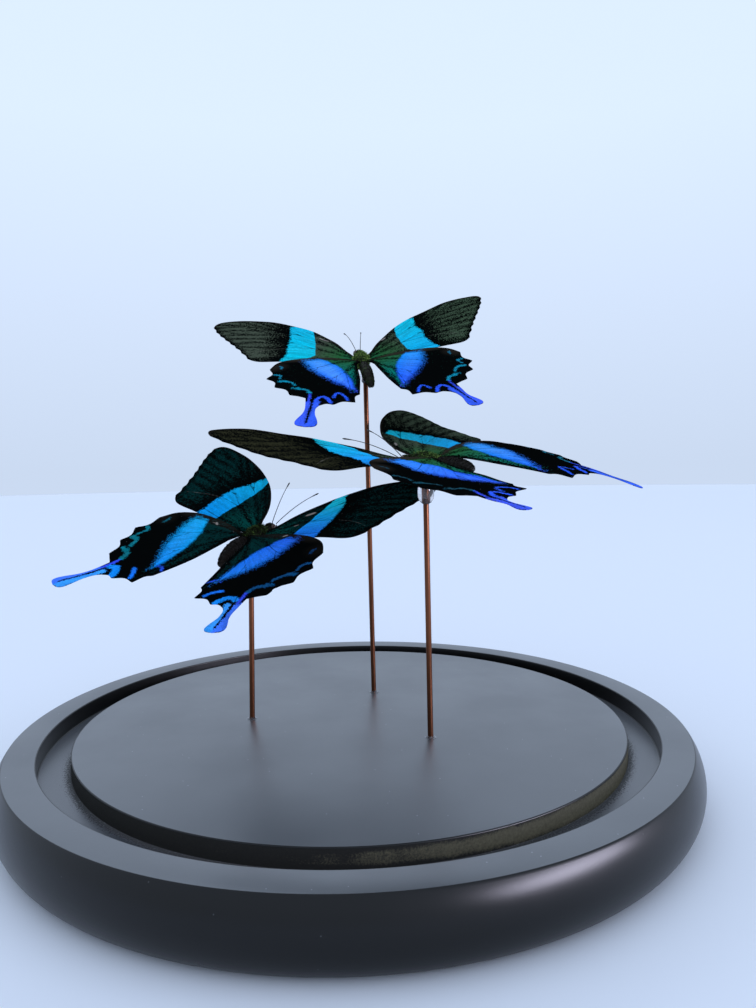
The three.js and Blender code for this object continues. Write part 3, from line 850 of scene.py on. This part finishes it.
def flat_wing(edges, veins, strips, torn):
    """A wing as a thin flat plate with its veins on it, in mm."""
    bm = bmesh.new()
    chains = [[bm.verts.new((x, y, 0)) for x, y in edge] for edge in edges]
    rails = [bm.edges.new(pair) for chain in chains for pair in zip(chain, chain[1:])]
    bmesh.ops.bridge_loops(bm, edges=rails)
    front = set(chains[0])
    ribs = [edge for edge in bm.edges if (edge.verts[0] in front) != (edge.verts[1] in front)]
    bmesh.ops.subdivide_edges(bm, edges=ribs, cuts=strips - 1, use_grid_fill=True)
    bmesh.ops.remove_doubles(bm, verts=bm.verts, dist=0.001)
    for x, y, radius in torn:
        lost = [face for face in bm.faces if (face.calc_center_median() - Vector((x, y, 0))).length < radius]
        bmesh.ops.delete(bm, geom=lost, context="FACES")
    underside = bm.faces[:]
    grown = bmesh.ops.extrude_face_region(bm, geom=underside + bm.edges[:] + bm.verts[:], use_keep_orig=True)
    lifted = [item for item in grown["geom"] if isinstance(item, bmesh.types.BMVert)]
    for face in underside:
        face.material_index = 1
    bmesh.ops.translate(bm, verts=bm.verts, vec=(0, 0, -WING_THICKNESS / 2))
    bmesh.ops.translate(bm, verts=lifted, vec=(0, 0, WING_THICKNESS))
    for vein in veins:
        length = sum(math.dist(a, b) for a, b in zip(vein, vein[1:]))
        count = max(5, round(length / 2.5))
        path = [(x, y, 0) for x, y in smooth_path(vein, count)]
        ends = set(bm.faces)
        start_radius = ROOT_VEIN_RADIUS if vein[0][0] < 0 else BRANCH_VEIN_RADIUS
        add_tube(bm, path, np.linspace(start_radius, VEIN_TIP_RADIUS, count), 6)
        for face in set(bm.faces) - ends:
            face.material_index = 1 if face.calc_center_median().z < 0 else 0
    return bm


def bright_marks(kind, points, looks):
    """The bright marks at each point: signed distance inside, edge softness, hue, strength and paleness, a
    painted sheen.
    """
    x, y = points.T
    front_hue, rear_hue = looks["hue"]
    hue = np.interp(y, [-30, 0] if kind == "hindwing" else [0, 28], [rear_hue, front_hue])
    rows, inner_shift, outer_shift = (looks["band"], 0, 0) if kind == "forewing" else (PATCH, *looks["patch"])
    forwards, inner_edge, outer_edge = np.array(rows).T
    inner = x - np.interp(y, forwards, inner_edge) - inner_shift
    outer = np.interp(y, forwards, outer_edge) + outer_shift - x
    best = np.minimum(inner, outer)
    if kind == "forewing":
        best = np.minimum(best, forwards[-1] + 1.5 - y)
        return best, np.where(inner < outer, 0.45, 1.3), hue, np.ones(len(points)), np.zeros(len(points))
    best = np.minimum(best, np.minimum(2.2 - y, (y + 33) * 0.6))
    soft = np.where(inner < outer, 1.1, 3.4)
    strength = np.interp(best / soft, [-0.4, 0.8], [0.3, 1])
    pale = np.interp(best, [0.5, 4.5], [0, 0.6]) * looks.get("pale", 0.15)
    share, side_of_tail = on_tail(points)
    across = np.abs(side_of_tail)
    half = np.interp(share, *np.array([[0, 2.6], *TAIL_SHAPE]).T)
    midrib = np.interp(share, [0, 0.5, 0.9, 0.94], [0.6, 0.5, 0.38, -1])
    tail = np.minimum(np.minimum(half + 0.3 - across, across - midrib), (share - 0.05) * 12)
    wider, brighter, bluer = looks.get("crescents", (1, 1, 0.08))
    uneven = 1 + 0.9 * np.array([noise.noise((a * 0.5, b * 0.5, 3.3)) for a, b in points])
    tail_hues = [0.35, 0.75] if wider > 1 else [rear_hue + 0.2, rear_hue + 0.3]
    tail_hue = np.interp(side_of_tail, [-1, 1], tail_hues)
    marks = [(tail, tail_hue, 1.08, 0.25 if wider > 1 else 0.1)]
    for number, (path, width, own_hue, power) in enumerate(BOLD_CRESCENTS if wider > 1 else CRESCENTS):
        if number < 4:
            power, own_hue = power * brighter, own_hue + bluer
        half_width = width * wider * (uneven if number < 4 else 1)
        marks.append((half_width - distance_to(points, [smooth_path(path, 16)]), own_hue, power, 0))
    for distance, own_hue, power, own_pale in marks:
        wins = distance / CRESCENT_SOFTNESS > best / soft
        best = np.where(wins, distance, best)
        soft = np.where(wins, CRESCENT_SOFTNESS, soft)
        hue = np.where(wins, own_hue, hue)
        strength = np.where(wins, power, strength)
        pale = np.where(wins, own_pale, pale)
    return best, soft, hue, strength, pale


def wing_fields(kind, points, looks, seed):
    """Every value that the wing materials read, worked out at each point of the flat wing."""
    x, y = points.T
    outline = FOREWING_EDGES if kind == "forewing" else HINDWING_EDGES
    margin = distance_to(points, outline)
    veins = distance_to(points, FOREWING_VEINS if kind == "forewing" else HINDWING_VEINS)
    bright, soft, hue, strength, pale = bright_marks(kind, points, looks)
    away = np.hypot(x, y)
    rays = [(math.atan2(b, a + 4) * RAY_SPACING, math.hypot(a, b) * 0.07, seed) for a, b in points]
    streak = np.array([noise.noise(ray) for ray in rays])
    outside = np.maximum(0, -bright)
    if kind == "forewing":
        dust = np.interp(away, [0, 6, 18], [0.95, 0.85, 0.62])
        dust = np.where(x > 22, np.interp(outside, [0, 3, 12, 30], [0.05, 0.1, 0.66, 0.78]), dust)
    else:
        inner_edge = np.interp(y, *np.array(PATCH).T[:2]) + looks["patch"][0]
        dust = np.interp(x - inner_edge, [-9, 0, 3], [0.96, 0.88, 0.06])
        dust = np.where(x > 16, 0.02, dust) * np.interp(y, [-40, -28, -6], [0.25, 0.6, 1])
    between = np.interp(veins, [0.3, 1.6], [0.35, 1])
    dust = dust * between * np.interp(margin, [0.4, 2.4], [0.15, 1]) * (1 + 0.8 * streak)
    dust *= looks.get("dusting", 1)
    corner = np.interp(np.hypot(x - 34, y + 4), [1, 6], [0.6, 0])
    costa = np.interp(distance_to(points, outline[:1]), [0, 1.2], [0.6, 0]) * (kind == "forewing")
    front_strip = np.interp(y, [-1, 2.4], [0, 1]) * np.interp(x, [28, 36], [1, 0.4])
    dull = np.maximum(np.maximum(front_strip, corner) * (kind == "hindwing"), costa)
    dull *= 0.4 if looks["dust"][0] > 0.8 else 1
    bare = np.zeros(len(points))
    for along, forwards, length, width in looks.get("marks", []):
        ahead = Vector((0.76, 0.65)) * length / 2
        middle = Vector((along, forwards))
        bare = np.maximum(bare, 1 - distance_to(points, [[middle - ahead, middle + ahead]]) / width)
    # Each forewing also gets a faint pale streak from (29, 9.4) to (43, 3.6), carried with the bare marks: a
    # painted sheen.
    if kind == "forewing":
        bare = np.maximum(bare, 0.28 - distance_to(points, [[(29, 9.4), (36, 7.4), (43, 3.6)]]) * 0.4)
    from_root = np.interp(away, [5, 20], [0, 1]) if kind == "forewing" else np.interp(y, [-20, -2], [1, 0])
    dust_hue = np.interp(from_root, [0, 1], looks["dust"])
    return {
        "bright": bright, "soft": soft, "hue": hue, "strength": strength, "pale": pale, "dust": dust,
        "dust_hue": dust_hue, "dull": dull, "bare": bare, "vein": veins, "margin": margin,
    }


# Upper side: matt black scales dusted with green ones, which crowd into turquoise to blue marks. Blue scales
# owe their colour to structure, so they keep a silky metallic sheen. A grain of colour is a few scales wide,
# since one scale is too fine to show. Sizes here are in mm on the flat wing.
SCALE_GRAIN = 0.32
DUST_SPACING = 5


def read_wing(tree, fields):
    """The place on the flat wing, its grain of scales, each grain's three random values, and the fields."""
    flat = add_node(tree, "Attribute", attribute_name="flat_place").outputs["Vector"]
    grain = add_node(tree, "TexVoronoi", {"Vector": flat, "Scale": 1 / SCALE_GRAIN})
    grain_dice = add_node(tree, "SeparateColor", {"Color": grain.outputs["Color"]})
    reads = {name: add_node(tree, "Attribute", attribute_name=name).outputs["Fac"] for name in fields}
    return flat, grain, grain_dice, reads


upper_side, tree, surface = new_material("scaled upper side")
flat, grain, grain_dice, reads = read_wing(
    tree, ("bright", "soft", "hue", "strength", "pale", "dust", "dust_hue", "dull", "bare", "vein")
)
ragged = add_node(tree, "TexNoise", {"Vector": flat, "Scale": 0.7, "Detail": 3})
scatter = add_node(tree, "Math", {0: grain_dice.outputs["Red"], 1: 0.5}, operation="SUBTRACT")
waver = add_node(tree, "Math", {0: ragged, 1: 0.5}, operation="SUBTRACT")
loose = add_node(tree, "Math", {0: scatter, 1: waver}, operation="ADD")
spread = add_node(tree, "Math", {0: loose, 1: reads["soft"], 2: reads["bright"]}, operation="MULTIPLY_ADD")
spread_mask = add_node(tree, "MapRange", {"Value": spread, "From Min": -0.1, "From Max": 0.1})
kept = add_node(
    tree, "MapRange", {"Value": reads["vein"], "From Min": 0.1, "From Max": 0.28, "To Min": 0.25}
)
bright_mask = add_node(tree, "Math", {0: spread_mask, 1: kept}, operation="MULTIPLY")
blues = add_node(tree, "ValToRGB", {"Fac": reads["hue"]})
blues.color_ramp.elements[0].color = linear("#00cbdc")
blues.color_ramp.elements[1].color = linear("#3a48e0")
blues.color_ramp.elements.new(0.3).color = linear("#06a2ee")
blues.color_ramp.elements.new(0.6).color = linear("#1a66f4")
silk_place = add_node(tree, "Attribute", attribute_name="ray_place").outputs["Vector"]
silk = add_node(tree, "TexNoise", {"Vector": silk_place, "Scale": 0.8, "Detail": 4})
silk_light = add_node(
    tree, "MapRange", {"Value": silk, "From Min": 0.3, "From Max": 0.7, "To Min": 0.8, "To Max": 1.25}
)
# The patch is whitened towards its middle: a painted sheen.
painted_sheen_blue = add_node(tree, "Mix", {"Factor": reads["pale"], 6: blues, 7: linear("#70b6ff")}, data_type="RGBA")
sparkle = add_node(tree, "MapRange", {"Value": grain_dice.outputs["Blue"], "To Min": 0.78, "To Max": 1.15})
silk_sparkle = add_node(tree, "Math", {0: silk_light, 1: sparkle}, operation="MULTIPLY")
glow = add_node(tree, "Math", {0: silk_sparkle, 1: reads["strength"]}, operation="MULTIPLY")
lit_blue = add_node(tree, "VectorMath", {0: painted_sheen_blue, "Scale": glow}, operation="SCALE")
dusted = add_node(tree, "Math", {0: reads["dust"], 1: grain_dice.outputs["Green"]}, operation="SUBTRACT")
dust_mask = add_node(tree, "MapRange", {"Value": dusted, "From Max": 0.12})
dust_colour = add_node(tree, "ValToRGB", {"Fac": reads["dust_hue"]})
dust_colour.color_ramp.elements[0].color = linear("#302f1f")
dust_colour.color_ramp.elements[1].color = linear("#083230")
dust_colour.color_ramp.elements.new(0.2).color = linear("#4b5344")
dust_colour.color_ramp.elements.new(0.4).color = linear("#2b6638")
dust_colour.color_ramp.elements.new(0.6).color = linear("#0a8070")
ground = add_node(
    tree, "Mix", {"Factor": dust_mask, 6: linear("#060808"), 7: dust_colour}, data_type="RGBA"
)
dulled = add_node(tree, "Mix", {"Factor": reads["dull"], 6: ground, 7: linear("#332c25")}, data_type="RGBA")
marked = add_node(tree, "Mix", {"Factor": bright_mask, 6: dulled, 7: lit_blue}, data_type="RGBA")
# Bare marks, the painted sheen streak on each forewing, and dust specks turn pale greige.
bare_and_sheen = add_node(
    tree, "MapRange", {"Value": reads["bare"], "From Min": 0.15, "From Max": 0.6, "To Max": 0.85}
)
flecks = add_node(tree, "TexVoronoi", {"Vector": flat, "Scale": 1 / DUST_SPACING})
fleck_mask = add_node(
    tree, "MapRange", {"Value": flecks, "From Min": 0.02, "From Max": 0.03, "To Min": 0.6, "To Max": 0}
)
bare_sheen_or_dusty = add_node(tree, "Math", {0: bare_and_sheen, 1: fleck_mask}, operation="MAXIMUM")
wing_colour = add_node(
    tree, "Mix", {"Factor": bare_sheen_or_dusty, 6: marked, 7: linear("#b0a49a")}, data_type="RGBA"
)
sheen_metal = add_node(tree, "MapRange", {"Value": bright_mask, "To Max": 0.35})
wing_bump = add_node(tree, "Bump", {"Height": grain, "Strength": 0.25, "Distance": 0.05 * MM})
set_inputs(
    surface,
    {
        "Base Color": wing_colour, "Metallic": sheen_metal, "Roughness": 0.62, "Specular IOR Level": 0,
        "Normal": wing_bump,
    },
)

# Underside: dull brown-black scales with an ochre bloom towards the edge, and rusty crescents on a hindwing.
under_side, tree, surface = new_material("scaled underside")
_, grain, grain_dice, reads = read_wing(tree, ("crescent", "bloom"))
bloomed = add_node(tree, "Math", {0: reads["bloom"], 1: grain_dice.outputs["Blue"]}, operation="SUBTRACT")
bloom_mask = add_node(tree, "MapRange", {"Value": bloomed, "From Min": -0.08, "From Max": 0.08})
under_ground = add_node(
    tree, "Mix", {"Factor": bloom_mask, 6: linear("#1b1613"), 7: linear("#6e5f48")}, data_type="RGBA"
)
crescent_mask = add_node(
    tree, "MapRange", {"Value": reads["crescent"], "From Min": -0.15, "From Max": 0.15}
)
crescent_lilac = add_node(tree, "MapRange", {"Value": reads["crescent"], "From Min": 0.25, "From Max": 0.5})
crescent_colour = add_node(
    tree, "Mix", {"Factor": crescent_lilac, 6: linear("#8c4a24"), 7: linear("#8f8dc4")}, data_type="RGBA"
)
under_colour = add_node(
    tree, "Mix", {"Factor": crescent_mask, 6: under_ground, 7: crescent_colour}, data_type="RGBA"
)
under_bump = add_node(tree, "Bump", {"Height": grain, "Strength": 0.25, "Distance": 0.05 * MM})
set_inputs(
    surface,
    {"Base Color": under_colour, "Roughness": 0.7, "Specular IOR Level": 0.25, "Normal": under_bump},
)

KINDS = {
    "forewing": (FOREWING_EDGES, FOREWING_VEINS, FOREWING_ROOT, 40),
    "hindwing": (HINDWING_EDGES, HINDWING_VEINS, HINDWING_ROOT, 44),
}
MEMBRANE_BULGE = 0.3
MEMBRANE_RIPPLE = 0.4
APEX_DROOP = 0.015
for number, (wing_name, looks) in enumerate(WING_LOOKS.items()):
    name, side, kind = wing_name.split("_")
    pose = INSECTS[name][f"{side}_{kind}"]
    edges, veins, root, strips = KINDS[kind]
    seed = 17.0 * number
    bm = flat_wing(edges, veins, strips, looks.get("torn", []))
    flat_points = np.array([vertex.co for vertex in bm.verts])
    points = flat_points[:, :2]
    fields = wing_fields(kind, points, looks, seed)
    x, y = points.T
    # A tail may have dried narrower and shorter.
    narrowing, shortening = looks.get("tail", (1, 1))
    if narrowing < 1:
        along = np.array(TAIL_TIP - TAIL_ROOT)
        share, _ = on_tail(points)
        foot = np.array(TAIL_ROOT) + share[:, None] * along
        narrow = np.interp(share, [0.2, 0.5], [1, narrowing])[:, None]
        shorter = np.array(TAIL_ROOT) + np.interp(share, [0.2, 1], [0.2, shortening])[:, None] * along
        beyond = (share > 0.2)[:, None] & (y < -40)[:, None]
        points = np.where(beyond, shorter + (points - foot) * narrow, points)
        x, y = points.T
    # The dry membrane puffs up between its veins and is never quite flat.
    span, chord, diagonal, curl = pose["bend"]
    u, v = x / BEND_UNIT, y / BEND_UNIT
    droop = APEX_DROOP * np.maximum(0, x - 50)
    rise = span * u * u + chord * v * v + diagonal * u * v + curl * u**3 - droop
    between_veins = 1 - np.exp(-((fields["vein"] / 1.8) ** 2))
    bulge = MEMBRANE_BULGE * between_veins * np.interp(fields["margin"], [0, 3], [0, 1])
    ripple = MEMBRANE_RIPPLE * np.array([noise.noise((a * 0.08, b * 0.08, seed)) for a, b in points])
    heights = flat_points[:, 2] + rise + bulge + ripple * np.interp(np.hypot(x, y), [3, 20], [0, 1])
    shift = [*pose.get("shift", (0, 0)), 0]
    turned = np.stack([x, y, heights], axis=1) @ np.array(turn_matrix(pose["turn"])).T
    placed = turned + np.array(root) + shift
    if side == "left":
        placed[:, 0] *= -1
    for vertex, place_on_insect in zip(bm.verts, placed):
        vertex.co = place_on_insect
    bmesh.ops.recalc_face_normals(bm, faces=bm.faces)
    bmesh.ops.transform(bm, matrix=insect_matrix(name), verts=bm.verts)
    wing = finish_piece(f"{wing_name}_scaled", bm, [upper_side, under_side], wing_name)
    crescents = [smooth_path(path, 16) for path, *_ in CRESCENTS[:4] + CRESCENTS[5:]]
    fields["crescent"] = np.full(len(points), -1.0)
    if kind == "hindwing":
        fields["crescent"] = 1.0 - distance_to(points, crescents)
    fields["bloom"] = np.interp(fields["margin"], [1, 4, 14, 22], [0.1, 0.5, 0.3, 0.08]) * np.interp(
        fields["vein"], [0.3, 1.5], [0.2, 1]
    )
    for field, values in fields.items():
        wing.data.attributes.new(field, "FLOAT", "POINT").data.foreach_set("value", values.astype(np.float32))
    angle = np.arctan2(y, x + 4)
    rays = np.stack([angle * RAY_SPACING, np.hypot(x, y) * 0.12, np.full(len(x), seed)], axis=1)
    flats = np.stack([x, y, np.full(len(x), seed)], axis=1)
    for field, vectors in (("flat_place", flats), ("ray_place", rays)):
        made = wing.data.attributes.new(field, "FLOAT_VECTOR", "POINT")
        made.data.foreach_set("vector", vectors.astype(np.float32).ravel())

# Studio: a wide pale matt floor under a soft sky that is a little brighter behind the object.
STAGE_RADIUS = 4
HORIZON_STRENGTH = 0.92
stage_paint, tree, surface = new_material("pale matt backdrop")
set_inputs(surface, {"Base Color": linear("#f2f5fb"), "Roughness": 0.9})
bm = bmesh.new()
bmesh.ops.create_circle(bm, cap_ends=True, segments=96, radius=STAGE_RADIUS)
stage = add_object("pale_floor", bm, [stage_paint])

world = bpy.data.worlds.new("soft sky")
world.use_nodes = True
tree = world.node_tree
tree.nodes.clear()
way = add_node(tree, "TexCoord").outputs["Generated"]
way = add_node(tree, "SeparateXYZ", {"Vector": way})
upper_sky = add_node(
    tree, "MapRange",
    {"Value": way.outputs["Y"], "From Min": -0.8, "From Max": 0.6, "To Min": 1.06, "To Max": 1.14},
)
above_floor = add_node(tree, "MapRange", {"Value": way.outputs["Z"], "From Max": 0.4})
sky_strength = add_node(tree, "Mix", {"Factor": above_floor, 2: HORIZON_STRENGTH, 3: upper_sky})
sky = add_node(tree, "Background", {"Color": linear("#d3e3fb"), "Strength": sky_strength})
add_node(tree, "OutputWorld", {"Surface": sky})
bpy.context.scene.world = world
bpy.context.scene.view_settings.view_transform = "Standard"

# A softbox low at the right gives the long highlight on the base's rounded side. Only gloss shows it, so that
# it leaves no pool of light on the floor.
SOFTBOX_PLACE = Vector((2.15, -1.24, 0.78))
SOFTBOX_AIM = Vector((0, 0, 0.08))
light = bpy.data.lights.new("softbox", "AREA")
light.shape = "RECTANGLE"
light.size = 2
light.size_y = 0.6
light.spread = math.radians(70)
light.energy = 16
light.color = linear("#e9e6ff")[:3]
lamp = bpy.data.objects.new("softbox", light)
lamp.location = SOFTBOX_PLACE
lamp.visible_diffuse = False
lamp.rotation_euler = (SOFTBOX_AIM - SOFTBOX_PLACE).to_track_quat("-Z", "Y").to_euler()
bpy.context.scene.collection.objects.link(lamp)

# Camera: just in front of the base and nearly level, turned a little to the right and down.
CAMERA_PLACE = (0, -0.28477, 0.11623)
CAMERA_PAN = 0.0385366
CAMERA_PITCH = 0.0489683
CAMERA_ROLL = -0.0155335
FOCAL_PIXELS = 750
FRAME_HEIGHT = 1008
lens = bpy.data.cameras.new("camera")
lens.sensor_width = 36
lens.lens = FOCAL_PIXELS / FRAME_HEIGHT * lens.sensor_width
lens.clip_start = 0.01
camera = bpy.data.objects.new("camera", lens)
aim = Matrix.Rotation(-CAMERA_PAN, 3, "Z") @ Matrix.Rotation(math.pi / 2 - CAMERA_PITCH, 3, "X")
camera.rotation_euler = (aim @ Matrix.Rotation(CAMERA_ROLL, 3, "Z")).to_euler()
camera.location = CAMERA_PLACE
bpy.context.scene.collection.objects.link(camera)
bpy.context.scene.camera = camera
